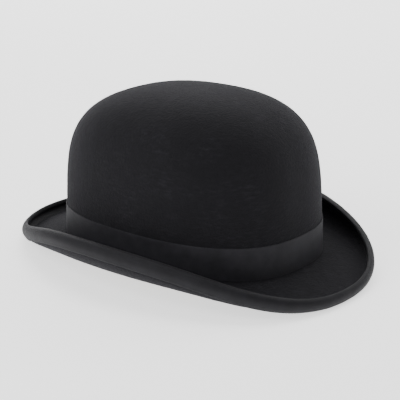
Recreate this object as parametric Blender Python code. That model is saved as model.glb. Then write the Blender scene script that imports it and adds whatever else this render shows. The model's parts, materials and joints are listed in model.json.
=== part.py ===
"""A stiff felt bowler hat, modelled as the separate pieces that a hatter sews together.

The pieces are shaped in the hat's own frame: the front faces -Y, the wearer's left is +X, and
height 0 is where the crown meets the brim at the sides. An empty then stands the whole hat on
Z = 0, centred on the origin. Angles around the hat are measured from the front towards the
wearer's left. Every sewn layer is a sheet with a thickness, laid a fixed distance from the felt.
"""
import math

import bmesh
import bpy
import numpy as np

MM = 0.001

# Crown: an upright oval wall that rounds over into a dome.
HALF_WIDTH = 85.1 * MM
HALF_LENGTH = 101.5 * MM
OVAL_POWER = 2.4
CROWN_HEIGHT = 121.1 * MM
WALL_POWER = 2.41
TOP_POWER = 5.16
FLARE = 0.0207
LEAN_BACK = 5.8 * MM
TOP_SLOPE = -0.037

# Brim, at seven stations from the front, 30 degrees apart, to the back. It leaves the crown at a
# slope, runs straight, sweeps up to UPRIGHT, and its edge rolls over from there to the lip angle.
BRIM_DIP = 3.35 * MM
BRIM_SLOPE = np.radians([-17.7, -12.9, -4.9, -5.2, -10.7, -19.3, -17.5])
BRIM_RUN = np.array([40.5, 31.9, 14.3, 8.6, 13.1, 30.5, 40.7]) * MM
SWEEP_RADIUS = np.array([3.5, 6.5, 15.5, 21.3, 14.5, 6.4, 5.6]) * MM
LIP_ANGLE = np.radians([151.4, 173.7, 202.9, 209.4, 193.5, 158.3, 148.8])
UPRIGHT = math.radians(80)
ROLL_RADIUS = 3.95 * MM

# Layers, and the air between one layer and the next.
FELT = 2.0 * MM
RIBBON = 0.45 * MM
SATIN = 0.4 * MM
LEATHER = 1.0 * MM
TAPE = 0.3 * MM
GAP = 0.3 * MM

BAND_RAISE = 1.5 * MM
BAND_HEIGHT = 24.3 * MM
BINDING_FLAP = 12.3 * MM
FELT_EDGE_SETBACK = 0.4 * MM
SEAM_SETBACK = 1.3 * MM
REST_FLAT_DEPTH = 0.2 * MM

# The binding's fold, past the middle of the felt's edge: its two corners and its outermost line.
FOLD_CORNER = 0.55 * MM
FOLD_REACH = 0.75 * MM

# Heights over the brim line, inside the hat.
SWEATBAND_FOOT = 1.6 * MM
SWEATBAND_TOP = 58.0 * MM
SWEATBAND_SEAM = 4.6 * MM
TAPE_TOP_BY_FELT = 9.0 * MM
TAPE_TOP_BY_HEAD = 5.5 * MM
TAPE_KNEE = -0.2 * MM
TAPE_FOLD = -1.0 * MM
LINING_FOOT = 12.0 * MM
REED_HEIGHT = 0.6 * MM
TICKET_HEIGHTS = (30.0 * MM, 42.0 * MM)
TICKET_ANGLES = np.radians([146.0, 149.5, 153.0])

REED_RADIUS = 0.6 * MM
THREAD_RADIUS = 0.2 * MM
PIPING_RADIUS = 0.4 * MM

# Resolution: stations around the hat, rows up the crown, and rows on the bound edge.
STATIONS = 48
FIRST_CROWN_ROW = 5.0 * MM
CROWN_ROWS = 10
LINING_JOIN_ROW = 6
PROTECTOR_ROW = 8
BOUND_ROWS = 7
OPEN_BRIM_ROWS = 4

# Each layer's outer face, measured outwards from the outside of the felt crown.
BAND_FACE = GAP + RIBBON
LINING_FACE = -(FELT + GAP)
SWEATBAND_FACE = LINING_FACE - SATIN - GAP
SWEATBAND_BACK = SWEATBAND_FACE - LEATHER
TAPE_FACE = -(FELT + GAP)
TAPE_BACK = SWEATBAND_BACK - GAP - 0.1 * MM - TAPE
BINDING_FACE = FELT / 2 + GAP + RIBBON

# Each bow's ribbon: how far it reaches each way, half its height, the height of its middle, the
# knot's width, how much the knot draws it in, how far its loops swell, and its thickness.
OUTER_BOW = {"reach": 31.0 * MM, "half_height": 11.6 * MM, "centre": BAND_RAISE + BAND_HEIGHT / 2,
             "knot": 11.0 * MM, "pinch": 0.12, "swell": 3.6 * MM, "ribbon": RIBBON}
INNER_BOW = {"reach": 14.0 * MM, "half_height": 4.0 * MM, "centre": 15.0 * MM,
             "knot": 5.0 * MM, "pinch": 0.2, "swell": 2.0 * MM, "ribbon": TAPE}

STATION_ANGLES = np.radians([0, 30, 60, 90, 120, 150, 180])
HARMONICS = np.arange(len(STATION_ANGLES))
SERIES = np.linalg.inv(np.cos(np.outer(STATION_ANGLES, HARMONICS)))
PHI = (np.arange(STATIONS) + 0.5) * 2 * math.pi / STATIONS


def around(phi, values):
    """The smooth value at angle phi that passes through the values given front to back."""
    return np.cos(np.multiply.outer(phi, HARMONICS)) @ (SERIES @ values)


def signed_power(value, power):
    return np.sign(value) * np.abs(value) ** power


def oval(phi):
    """Plan of the crown: a slightly squared oval."""
    x = HALF_WIDTH * signed_power(np.sin(phi), 2 / OVAL_POWER)
    y = -HALF_LENGTH * signed_power(np.cos(phi), 2 / OVAL_POWER)
    return x, y


def oval_normal(phi):
    x, y = oval(phi)
    across = signed_power(x / HALF_WIDTH, OVAL_POWER - 1) / HALF_WIDTH
    along = signed_power(y / HALF_LENGTH, OVAL_POWER - 1) / HALF_LENGTH
    size = np.hypot(across, along)
    return across / size, along / size


def dip(phi):
    """How far the brim line drops at the front and back."""
    return BRIM_DIP * np.cos(phi) ** 2


def rise_at_height(height):
    return (2 / math.pi * math.asin((max(height, 0) / CROWN_HEIGHT) ** (TOP_POWER / 2))) ** (2 / TOP_POWER)


def crown_skin(phi, rise):
    """A point on the felt crown's outside. Rise runs from 0 at the brim to 1 at the top."""
    turn = math.pi / 2 * rise ** (TOP_POWER / 2)
    spread = np.cos(turn) ** (2 / WALL_POWER)
    up = np.sin(turn) ** (2 / TOP_POWER)
    x, y = oval(phi)
    flare = 1 + FLARE * (1 - up) ** 2
    along = y * spread * flare + LEAN_BACK * up
    height = up * CROWN_HEIGHT * (1 + TOP_SLOPE * along / HALF_LENGTH) - dip(phi) * (1 - up)
    return np.stack([x * spread * flare, along, height], -1)


def crown(phi, rise, out):
    """A point at a distance out from the crown's outside, square to it."""
    step = 1e-4
    rise = min(max(rise, 2 * step), 1 - 2 * step)
    across = crown_skin(phi + step, rise) - crown_skin(phi - step, rise)
    upwards = crown_skin(phi, rise + step) - crown_skin(phi, rise - step)
    normal = np.cross(across, upwards)
    normal /= np.linalg.norm(normal, axis=-1, keepdims=True)
    return crown_skin(phi, rise) + out * normal


def wall(phi, height, out):
    """A point on the crown's wall at a height over the brim line. It may lie just under it."""
    point = crown(phi, rise_at_height(height), out)
    point[..., 2] += min(height, 0)
    return point


def brim_angles(phi):
    return (around(phi, BRIM_SLOPE), around(phi, BRIM_RUN),
            around(phi, SWEEP_RADIUS), around(phi, LIP_ANGLE))


def brim_length(phi):
    slope, run, sweep, lip = brim_angles(phi)
    return run + sweep * (UPRIGHT - slope) + ROLL_RADIUS * (lip - UPRIGHT)


def brim(phi, inset, out):
    """A point inset from the brim's edge along the felt, and out from its middle on the underside."""
    slope, run, sweep, _lip = brim_angles(phi)
    walked = brim_length(phi) - inset
    sweep_length = sweep * (UPRIGHT - slope)
    straight = np.minimum(walked, run)
    swept = slope + np.clip(walked - run, 0, sweep_length) / sweep
    rolled = swept + np.maximum(walked - run - sweep_length, 0) / ROLL_RADIUS
    reach = straight * np.cos(slope) + sweep * (np.sin(swept) - np.sin(slope))
    reach += ROLL_RADIUS * (np.sin(rolled) - np.sin(swept)) + out * np.sin(rolled)
    height = straight * np.sin(slope) + sweep * (np.cos(slope) - np.cos(swept))
    height += ROLL_RADIUS * (np.cos(swept) - np.cos(rolled)) - out * np.cos(rolled)
    x, y = oval(phi)
    nx, ny = oval_normal(phi)
    foot = 1 + FLARE
    return np.stack([x * foot + nx * reach, y * foot + ny * reach, height - dip(phi)], -1)


def crown_rises():
    """Rises of the crown's rows, evenly spaced along its side from just over the brim to the top."""
    fine = np.linspace(rise_at_height(FIRST_CROWN_ROW), 1 - 2e-4, 400)
    side = np.array([crown_skin(math.pi / 2, rise) for rise in fine])
    walked = np.concatenate([[0], np.cumsum(np.linalg.norm(np.diff(side, axis=0), axis=1))])
    return np.interp(np.linspace(0, walked[-1], CROWN_ROWS + 1), walked, fine)[:-1]


RISES = crown_rises()


def material(name, colour, roughness, alpha=1.0):
    made = bpy.data.materials.new(name)
    made.use_nodes = True
    shader = made.node_tree.nodes["Principled BSDF"]
    shader.inputs["Base Color"].default_value = (*colour, 1.0)
    shader.inputs["Roughness"].default_value = roughness
    shader.inputs["Metallic"].default_value = 0.0
    shader.inputs["Alpha"].default_value = alpha
    made.diffuse_color = (*colour, alpha)
    return made


def add_object(name, data, skin):
    made = bpy.data.objects.new(name, data)
    data.materials.append(skin)
    bpy.context.scene.collection.objects.link(made)
    return made


def sheet(name, rows, thickness, skin, closed=True, pole=None):
    """A sheet through rows of points, thickened away from its outer face.

    Each row runs round the sheet. A closed sheet joins each row's end to its start, and a pole
    closes the last row over its middle point. Each cell folds along its shorter diagonal, so that
    one layer folds where the layer under it does.
    """
    mesh = bmesh.new()
    grid = [[mesh.verts.new(point) for point in row] for row in rows]
    count = len(grid[0])
    columns = range(count if closed else count - 1)
    for low, high in zip(grid, grid[1:]):
        for column in columns:
            beside = (column + 1) % count
            a, b, c, d = low[column], low[beside], high[beside], high[column]
            rising = (a.co - c.co).length <= (b.co - d.co).length
            for corners in ((a, b, c), (a, c, d)) if rising else ((a, b, d), (b, c, d)):
                mesh.faces.new(corners)
    if pole is not None:
        top = mesh.verts.new(pole)
        for column in columns:
            mesh.faces.new((grid[-1][column], grid[-1][(column + 1) % count], top))
    data = bpy.data.meshes.new(name)
    mesh.to_mesh(data)
    mesh.free()
    data.shade_smooth()
    made = add_object(name, data, skin)
    solid = made.modifiers.new("thickness", "SOLIDIFY")
    solid.thickness = thickness
    solid.offset = -1
    solid.use_even_offset = True
    return made


def ring_cord(name, points, radius, skin):
    """A closed cord or thread through points."""
    data = bpy.data.curves.new(name, "CURVE")
    data.dimensions = "3D"
    data.bevel_depth = radius
    data.bevel_resolution = 0
    spline = data.splines.new("POLY")
    spline.points.add(len(points) - 1)
    for target, point in zip(spline.points, points):
        target.co = (*point, 1)
    spline.use_cyclic_u = True
    return add_object(name, data, skin)


def felt_body(skin):
    """Crown and brim, blocked in one from a single felt hood."""
    top_side = -FELT / 2
    covered = [FELT_EDGE_SETBACK, *np.linspace(0, BINDING_FLAP, BOUND_ROWS)[1:]]
    bound = [brim(PHI, inset, top_side) for inset in covered]
    bare = brim_length(PHI) - BINDING_FLAP
    shares = np.arange(1, OPEN_BRIM_ROWS + 1) / (OPEN_BRIM_ROWS + 1)
    bare_rows = [brim(PHI, BINDING_FLAP + bare * share, top_side) for share in shares]
    corner = crown_skin(PHI, 0)
    corner[:, 2] += FELT / 2 / np.cos(around(PHI, BRIM_SLOPE))
    upright = [crown(PHI, rise, 0) for rise in RISES]
    return sheet("felt_body", [*bound, *bare_rows, corner, *upright], FELT, skin, pole=crown_top(0))


def crown_top(out):
    return crown(PHI, 1, out).mean(axis=0)


def hat_band(skin):
    """The ribbon round the crown. Its two ends meet under the bow, on the wearer's left."""
    phi = open_ring(math.pi / 2)
    rows = [wall(phi, BAND_RAISE + BAND_HEIGHT * share, BAND_FACE) for share in (0, 0.5, 1)]
    return sheet("hat_band", rows, RIBBON, skin, closed=False)


def open_ring(join):
    """Angles once round the hat from join back to join, leaving a hair's breadth open there."""
    slit = 0.0015
    turned = np.sort((PHI - join) % (2 * math.pi))
    return join + np.concatenate([[slit], turned, [2 * math.pi - slit]])


def brim_binding(skin):
    """The ribbon folded over the brim's edge: underside flap, squared fold, upper flap."""
    insets = np.linspace(BINDING_FLAP, 0, BOUND_ROWS)
    under = [brim(PHI, inset, BINDING_FACE) for inset in insets]
    shoulder = 0.83 * BINDING_FACE
    corners = [brim(PHI, -FOLD_CORNER, shoulder), brim(PHI, -FOLD_CORNER, -shoulder)]
    fold = [corners[0], brim(PHI, -FOLD_REACH, 0), corners[1]]
    upper = [brim(PHI, inset, -BINDING_FACE) for inset in insets[::-1]]
    return sheet("brim_binding", [*under, *fold, *upper], RIBBON, skin)


def flatten_where_it_rests(piece, level):
    """Cuts the piece off flat at the level of the table."""
    data = bpy.data.meshes.new("table_cut")
    shape = bmesh.new()
    bmesh.ops.create_cube(shape, size=1.0)
    shape.to_mesh(data)
    shape.free()
    cutter = bpy.data.objects.new("table_cut", data)
    bpy.context.scene.collection.objects.link(cutter)
    depth = 10 * MM
    cutter.scale = (0.5, 0.5, depth)
    cutter.location = (0, 0, level - depth / 2)
    cutter.hide_render = True
    cutter.display_type = "WIRE"
    cut = piece.modifiers.new("rest_flat", "BOOLEAN")
    cut.operation = "DIFFERENCE"
    cut.solver = "EXACT"
    cut.object = cutter
    return cutter


def sweatband(skin):
    """The leather strip that the head touches. Its ends meet at the back."""
    phi = open_ring(math.pi)
    heights = np.linspace(SWEATBAND_FOOT, SWEATBAND_TOP, 4)
    rows = [wall(phi, height, SWEATBAND_FACE) for height in heights]
    return sheet("sweatband", rows, LEATHER, skin, closed=False)


def reed_tape(skin):
    """The tape folded round the reed, which sews the leather's foot to the felt."""
    middle = (TAPE_FACE + TAPE_BACK) / 2
    half_fold = 0.7 * MM
    section = [(TAPE_BACK, TAPE_TOP_BY_HEAD), (TAPE_BACK, TAPE_KNEE), (middle - half_fold, TAPE_FOLD),
               (middle + half_fold, TAPE_FOLD), (TAPE_FACE, TAPE_KNEE), (TAPE_FACE, TAPE_TOP_BY_FELT)]
    return sheet("reed_tape", [wall(PHI, height, out) for out, height in section], TAPE, skin)


def lining(satin, clear):
    """Side piece, oval tip, the piping over their join, and the film that guards the tip."""
    hair = 0.0012
    join = RISES[LINING_JOIN_ROW]
    covered = [rise for rise in RISES[:LINING_JOIN_ROW] if rise > rise_at_height(LINING_FOOT)]
    side = [rise_at_height(LINING_FOOT), *covered, join - hair]
    tip = [join + hair, *RISES[LINING_JOIN_ROW + 1:]]
    film = RISES[PROTECTOR_ROW:]
    inner = LINING_FACE - SATIN - GAP
    side_piece = sheet("lining_side", [crown(PHI, rise, LINING_FACE) for rise in side], SATIN, satin)
    tip_piece = sheet("lining_tip", [crown(PHI, rise, LINING_FACE) for rise in tip], SATIN, satin,
                      pole=crown_top(LINING_FACE))
    piping = ring_cord("lining_piping", crown(PHI, join, inner - PIPING_RADIUS), PIPING_RADIUS, satin)
    guard = sheet("tip_protector", [crown(PHI, rise, inner) for rise in film], TAPE, clear,
                  pole=crown_top(inner))
    return [side_piece, tip_piece, piping, guard]


def side_of_band(along, height, out):
    """Where the outer bow is sewn: the crown's left side, with along running to the back."""
    phi = np.arccos(-signed_power(along / HALF_LENGTH, OVAL_POWER / 2))
    return crown(phi, rise_at_height(height), out)


def back_of_sweatband(along, height, out):
    """Where the inner bow is sewn: inside the back of the hat, with along running to the left."""
    phi = math.pi - np.arcsin(signed_power(along / HALF_WIDTH, OVAL_POWER / 2))
    return crown(phi, rise_at_height(height), -out)


def waist(along, size):
    """Half the ribbon's height at a place along the bow, which is drawn in at the knot."""
    held = min(max((abs(along) - size["knot"] / 2) / (0.25 * size["reach"]), 0), 1)
    return size["half_height"] * (1 - size["pinch"] * (1 - held))


def bow_strip(name, place, size, outline, skin):
    """One ribbon of a bow: an outline of (along, out) points, as tall as the bow's waist allows."""
    rows = [[place(along, size["centre"] + side * waist(along, size), out) for along, out in outline]
            for side in (-1, 1)]
    return sheet(name, rows, size["ribbon"], skin)


def bow_loops(name, place, size, out, skin):
    """A ribbon folded flat into two loops: the back layer, then the front layer swelling over it."""
    reach = size["reach"]
    layers = 2 * size["ribbon"] + GAP
    held = 0.5 * size["knot"] / reach + 0.03
    front = [(share * reach, out + layers + size["swell"] * swell)
             for share, swell in ((-0.93, 0.5), (-0.65, 1), (-0.4, 0.6), (-held, 0),
                                  (held, 0), (0.4, 0.6), (0.65, 1), (0.93, 0.5))]
    back = [(share * reach, out) for share in (0.93, 0.3, -0.3, -0.93)]
    tips = size["swell"] * 0.3 + layers / 2
    outline = [*front, (reach, out + tips), *back, (-reach, out + tips)]
    return bow_strip(name, place, size, outline, skin)


def bow_knot(name, place, size, back, front, skin):
    """The short ribbon wrapped round the middle of the loops."""
    half = size["half_height"]
    lift = size["ribbon"]
    wrap = [(back, -half + lift), (back, half - lift), (back + lift, half), (front - lift, half),
            (front, half - lift), (front, -half + lift), (front - lift, -half), (back + lift, -half)]
    rows = [[place(along, size["centre"] + height, out) for out, height in wrap]
            for along in (-size["knot"] / 2, size["knot"] / 2)]
    return sheet(name, rows, size["ribbon"], skin)


def outer_bow(skin):
    """The flat bow over the band's ends: a base ribbon, two loops and the knot round both."""
    size = OUTER_BOW
    knot_back = BAND_FACE + GAP
    base_back = knot_back + RIBBON + GAP
    loops_back = base_back + RIBBON + GAP
    knot_front = loops_back + 3 * RIBBON + 2 * GAP
    base_reach = 1.1 * size["reach"]
    stops = (-1, -0.5, -0.18, 0.18, 0.5, 1)
    rows = [[side_of_band(stop * base_reach, size["centre"] + side * waist(stop * base_reach, size),
                          base_back + RIBBON) for stop in stops] for side in (-1, 1)]
    base = sheet("bow_base", rows, RIBBON, skin, closed=False)
    loops = bow_loops("bow_loops", side_of_band, size, loops_back, skin)
    knot = bow_knot("bow_knot", side_of_band, size, knot_back, knot_front, skin)
    return [base, loops, knot]


def inner_bow(skin):
    """The small bow that marks the back of the sweatband."""
    size = INNER_BOW
    knot_back = GAP - SWEATBAND_BACK
    loops_back = knot_back + TAPE + GAP
    knot_front = loops_back + 3 * TAPE + 2 * GAP
    loops = bow_loops("inner_bow_loops", back_of_sweatband, size, loops_back, skin)
    knot = bow_knot("inner_bow_knot", back_of_sweatband, size, knot_back, knot_front, skin)
    return [loops, knot]


def size_ticket(skin):
    """The small blank ticket on the sweatband, beside the inner bow."""
    rows = [wall(TICKET_ANGLES, height, SWEATBAND_BACK - GAP) for height in TICKET_HEIGHTS]
    return sheet("size_ticket", rows, TAPE, skin, closed=False)


def threads_and_reed(thread, plastic):
    """The binding's seam, the sweatband's seam, and the reed in the sweatband's foot."""
    seam_out = -(BINDING_FACE + GAP + THREAD_RADIUS)
    seam = ring_cord("binding_thread", brim(PHI, BINDING_FLAP - SEAM_SETBACK, seam_out),
                     THREAD_RADIUS, thread)
    stitch_out = TAPE_BACK - GAP - THREAD_RADIUS
    stitches = ring_cord("sweatband_thread", wall(PHI, SWEATBAND_SEAM, stitch_out), THREAD_RADIUS, thread)
    reed_out = (TAPE_FACE + TAPE_BACK) / 2
    reed = ring_cord("sweatband_reed", wall(PHI, REED_HEIGHT, reed_out), REED_RADIUS, plastic)
    return [seam, stitches, reed]


def stand_on_table(pieces, rest_level):
    """Parents every piece to one empty that brings the hat's rest level to Z = 0."""
    insets = np.linspace(0, BINDING_FLAP, BOUND_ROWS)
    lengthways = np.concatenate([brim(PHI, inset, BINDING_FACE)[:, 1] for inset in insets])
    hat = bpy.data.objects.new("hat", None)
    bpy.context.scene.collection.objects.link(hat)
    hat.location = (0, -(lengthways.max() + lengthways.min()) / 2, -rest_level)
    for piece in pieces:
        piece.parent = hat


def table_level():
    """The height of the table: the lowest of the binding, pressed flat by a little."""
    phi = np.concatenate([PHI[:1], PHI[STATIONS // 2:STATIONS // 2 + 1]])
    insets = np.linspace(0, BINDING_FLAP, BOUND_ROWS)
    lows = [brim(phi, inset, BINDING_FACE)[:, 2] for inset in insets]
    return np.min(lows, axis=0).max() + REST_FLAT_DEPTH


def main():
    for old in list(bpy.data.objects):
        bpy.data.objects.remove(old)
    felt = material("black_felt", (0.016, 0.016, 0.018), 0.95)
    ribbon = material("black_grosgrain", (0.020, 0.020, 0.022), 0.6)
    thread = material("black_thread", (0.015, 0.015, 0.016), 0.7)
    leather = material("tan_leather", (0.16, 0.075, 0.035), 0.5)
    tape = material("black_tape", (0.02, 0.02, 0.02), 0.8)
    reed = material("reed_plastic", (0.6, 0.55, 0.42), 0.5)
    satin = material("satin_lining", (0.45, 0.42, 0.38), 0.4)
    clear = material("clear_film", (0.9, 0.9, 0.9), 0.1, alpha=0.25)
    paper = material("ticket_paper", (0.75, 0.73, 0.68), 0.9)
    binding = brim_binding(ribbon)
    level = table_level()
    cutter = flatten_where_it_rests(binding, level)
    pieces = [felt_body(felt), hat_band(ribbon), binding, sweatband(leather), reed_tape(tape),
              size_ticket(paper), *outer_bow(ribbon), *inner_bow(ribbon), *lining(satin, clear),
              *threads_and_reed(thread, reed)]
    stand_on_table([*pieces, cutter], level)


main()
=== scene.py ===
"""The finished look of the bowler hat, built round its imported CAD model.

The hat's own frame has its front on -Y, the wearer's left on +X, and height 0 where the crown
meets the brim at the sides. The record's head_opening mount is that frame's origin. Angles round
the hat run from the front towards the wearer's left. Lengths are in metres.
"""
import json
import math

import bpy
import numpy as np
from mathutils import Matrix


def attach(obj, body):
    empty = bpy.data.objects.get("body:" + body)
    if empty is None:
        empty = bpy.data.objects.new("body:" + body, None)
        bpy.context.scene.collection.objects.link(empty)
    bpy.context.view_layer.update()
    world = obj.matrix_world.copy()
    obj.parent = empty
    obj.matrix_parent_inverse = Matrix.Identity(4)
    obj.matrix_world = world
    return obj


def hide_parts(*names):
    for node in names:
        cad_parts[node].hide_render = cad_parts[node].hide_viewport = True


MM = 0.001

# The crown and brim, as the CAD source has them. Each brim array holds its values at seven stations
# from the front to the back.
HALF_WIDTH = 85.1 * MM
HALF_LENGTH = 101.5 * MM
OVAL_POWER = 2.4
CROWN_HEIGHT = 121.1 * MM
WALL_POWER = 2.41
TOP_POWER = 5.16
FLARE = 0.0207
LEAN_BACK = 5.8 * MM
TOP_SLOPE = -0.037
BRIM_DIP = 3.35 * MM
BRIM_SLOPE = np.radians([-17.7, -12.9, -4.9, -5.2, -10.7, -19.3, -17.5])
BRIM_RUN = np.array([40.5, 31.9, 14.3, 8.6, 13.1, 30.5, 40.7]) * MM
SWEEP_RADIUS = np.array([3.5, 6.5, 15.5, 21.3, 14.5, 6.4, 5.6]) * MM
LIP_ANGLE = np.radians([151.4, 173.7, 202.9, 209.4, 193.5, 158.3, 148.8])
UPRIGHT = math.radians(80)
ROLL_RADIUS = 3.95 * MM

# Thicknesses.
FELT = 2.0 * MM
RIBBON = 0.5 * MM
BINDING = 0.6 * MM
SATIN = 0.3 * MM
LEATHER = 1.1 * MM
TAPE = 0.3 * MM
FILM = 0.2 * MM
PAPER = 0.2 * MM

# Where each layer's outer and inner sides lie, out from the outside of the felt crown. The
# binding's is out from the middle of the brim's felt, on both sides. The ticket and the stitches
# that close the leather lie on the leather, just clear of its inner side.
BAND_FACE = 0.75 * MM
BINDING_FACE = 1.75 * MM
LINING_FACE = -2.3 * MM
SWEATBAND_FACE = -2.95 * MM
SWEATBAND_BACK = SWEATBAND_FACE - LEATHER
TAPE_FACE = -2.25 * MM
TAPE_BACK = -4.7 * MM
ON_LEATHER = SWEATBAND_BACK - 0.35 * MM
FILM_FACE = LINING_FACE - 1.2 * MM

# The felt: the groove under the binding's edge, the rounded break at the crown's foot, the nap.
GROOVE_DEPTH = 0.4 * MM
GROOVE_SETBACK = 0.4 * MM
GROOVE_WIDTH = 0.6 * MM
BREAK_REACH = 3 * MM
BREAK_HEIGHT = 4 * MM
NAP_DEPTH = 0.05 * MM
NAP_FEATURE = 3.5 * MM
NAP_WAVES = 24

# The rise of the last row of points before the crown's top.
FELT_LAST_RISE = 1 - 2e-4
LINING_LAST_RISE = 1 - 1e-3

# A ribbon or leather whose ends meet leaves this angle open on each side, in radians.
END_GAP = 0.0008

# The ribbons. The binding's upper flap is pressed in by the flush depth over the flush width.
BAND_RAISE = 1.5 * MM
BAND_HEIGHT = 24.3 * MM
SELVEDGE = 0.10 * MM
BINDING_FLAP = 12.3 * MM
FOLD_REACH = 0.75 * MM
FLUSH_WIDTH = 5 * MM
FLUSH_DEPTH = 0.66 * MM

# Seams: from one stitch to the next, and the share of that which each stitch covers.
SEAM_SETBACK = 1.3 * MM
STITCH_RADIUS = 0.16 * MM
BINDING_STITCH = 2.6 * MM
BINDING_STITCH_SHARE = 0.72
SWEATBAND_STITCH = 2.2 * MM
SWEATBAND_STITCH_SHARE = 0.9
CROSS_STITCH = 2.4 * MM

# Heights over the brim line, inside the hat.
SWEATBAND_FOOT = 1.6 * MM
SWEATBAND_TOP = 58.0 * MM
SLACK_START = 12 * MM
TOOLED_LINES = np.array([52.6, 54.4]) * MM
SWEATBAND_SEAM = 4.7 * MM
TAPE_TOP_BY_HEAD = 6.0 * MM
TAPE_TOP_BY_FELT = 9.0 * MM
TAPE_BEAD = 0.6 * MM
TAPE_BEAD_DEPTH = 1.6 * MM
REED_HEIGHT = 0.75 * MM
REED_RADIUS = 0.7 * MM
CROSS_STITCHES_START = 22 * MM
CROSS_STITCHES_END = 56 * MM
LINING_FOOT = 12 * MM
GATHERS_START = 45 * MM

# The ticket's height over the brim line and its angles in degrees.
TICKET_HEIGHTS = (30 * MM, 42 * MM)
TICKET_ANGLES = (146, 153)

# The lining: where its tip and the film begin, as shares of the crown's width, and the gathers.
JOIN_SPREAD = 0.78
FILM_SPREAD = 0.5
GATHERS = 84
GATHER_DEPTH = 0.65 * MM
TIP_HANG = 0.6 * MM
FILM_BILLOW = 0.3 * MM
PIPING_RADIUS = 0.9 * MM

# The photograph's view: the camera turned round the hat from its front, and its tilt. The sensor
# and the lens are in millimetres.
VIEW_AZIMUTH = math.radians(-52.42)
VIEW_ELEVATION = math.radians(18.60)
VIEW_ROLL = math.radians(1.86)
VIEW_DISTANCE = 1.084
VIEW_TARGET = np.array([0.0, -5.2, 30.4]) * MM
SENSOR = 36.0
LENS = 122.4

# The studio: a floor that glows like a light table, a dim room, and soft lamps. Each lamp's turn is
# measured from the camera round towards the right of the picture, and its height over the floor,
# both in degrees.
FLOOR_GLOW = 1.3
FLOOR_REACH = 12
ROOM_LIGHT = 0.35
LAMP_AIM = (0, 0, 0.05)
LAMPS = {"left_front": {"turn": -50, "height": 35, "distance": 1.6, "size": (1.0, 1.0), "power": 14.2},
         "left": {"turn": -100, "height": 25, "distance": 1.6, "size": (1.0, 1.0), "power": 1.2},
         "right_back": {"turn": 140, "height": 30, "distance": 1.6, "size": (1.0, 1.0), "power": 8.3},
         "back_low": {"turn": -170, "height": 20, "distance": 1.6, "size": (1.2, 0.8), "power": 9.6},
         "back_top": {"turn": 180, "height": 70, "distance": 1.8, "size": (1.4, 1.4), "power": 21.0}}

# The cosine series that passes through the values at the brim's stations.
STATION_ANGLES = np.radians([0, 30, 60, 90, 120, 150, 180])
HARMONICS = np.arange(len(STATION_ANGLES))
SERIES = np.linalg.inv(np.cos(np.outer(STATION_ANGLES, HARMONICS)))

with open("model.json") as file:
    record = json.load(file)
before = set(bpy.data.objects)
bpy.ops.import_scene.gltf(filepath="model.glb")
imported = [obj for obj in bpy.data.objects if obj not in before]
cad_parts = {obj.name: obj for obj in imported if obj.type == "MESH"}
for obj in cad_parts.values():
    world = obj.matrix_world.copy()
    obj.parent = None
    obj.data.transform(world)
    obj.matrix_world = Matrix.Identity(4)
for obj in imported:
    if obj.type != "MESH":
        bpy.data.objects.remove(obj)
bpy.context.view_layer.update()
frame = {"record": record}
MOUNTS = {mount["name"]: mount for mount in frame["record"]["mounts"]}
ORIGIN = np.array(MOUNTS["head_opening"]["pos_m"])


# ---------------------------------------------------------------- the hat's surfaces


def around(phi, values):
    """The smooth value at angle phi that passes through the values given front to back."""
    return np.cos(np.multiply.outer(phi, HARMONICS)) @ (SERIES @ values)


def signed_power(value, power):
    """The power of a value's size, with the value's own sign."""
    return np.sign(value) * np.abs(value) ** power


def smooth(value, start, end):
    """A soft step from 0 at start to 1 at end."""
    share = np.clip((value - start) / (end - start), 0, 1)
    return share * share * (3 - 2 * share)


def ring(count):
    """Angles once round the hat, none of them right at its front, back or sides."""
    return (np.arange(count) + 0.5) * 2 * math.pi / count


def oval(phi):
    """The crown's outline seen from above, at the brim line."""
    x = HALF_WIDTH * signed_power(np.sin(phi), 2 / OVAL_POWER)
    y = -HALF_LENGTH * signed_power(np.cos(phi), 2 / OVAL_POWER)
    return x, y


def oval_normal(phi):
    """The level direction square to the oval, outwards."""
    x, y = oval(phi)
    across = signed_power(x / HALF_WIDTH, OVAL_POWER - 1) / HALF_WIDTH
    along = signed_power(y / HALF_LENGTH, OVAL_POWER - 1) / HALF_LENGTH
    size = np.hypot(across, along)
    return across / size, along / size


def dip(phi):
    """How far the brim line drops below its height at the sides."""
    return BRIM_DIP * np.cos(phi) ** 2


def rise_at_height(height):
    """The rise, 0 to 1, at a height over the brim line."""
    share = np.maximum(height, 0) / CROWN_HEIGHT
    return (2 / math.pi * np.arcsin(share ** (TOP_POWER / 2))) ** (2 / TOP_POWER)


def rise_at_spread(spread):
    """The rise where the crown has narrowed to a share of its full width."""
    turn = math.acos(spread ** (WALL_POWER / 2))
    return (2 / math.pi * turn) ** (2 / TOP_POWER)


def crown_skin(phi, rise):
    """A point on the felt crown's outside. Rise runs from 0 at the brim to 1 at the top."""
    turn = math.pi / 2 * rise ** (TOP_POWER / 2)
    spread = np.cos(turn) ** (2 / WALL_POWER)
    up = np.sin(turn) ** (2 / TOP_POWER)
    x, y = oval(phi)
    flare = 1 + FLARE * (1 - up) ** 2
    along = y * spread * flare + LEAN_BACK * up
    height = up * CROWN_HEIGHT * (1 + TOP_SLOPE * along / HALF_LENGTH) - dip(phi) * (1 - up)
    return np.stack(np.broadcast_arrays(x * spread * flare, along, height), -1)


def crown(phi, rise, out):
    """A point at a distance out from the crown's outside, square to it."""
    step = 1e-4
    rise = np.clip(rise, 2 * step, 1 - 2 * step)
    across = crown_skin(phi + step, rise) - crown_skin(phi - step, rise)
    upwards = crown_skin(phi, rise + step) - crown_skin(phi, rise - step)
    normal = np.cross(across, upwards)
    normal /= np.linalg.norm(normal, axis=-1, keepdims=True)
    return crown_skin(phi, rise) + np.asarray(out)[..., None] * normal


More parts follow.
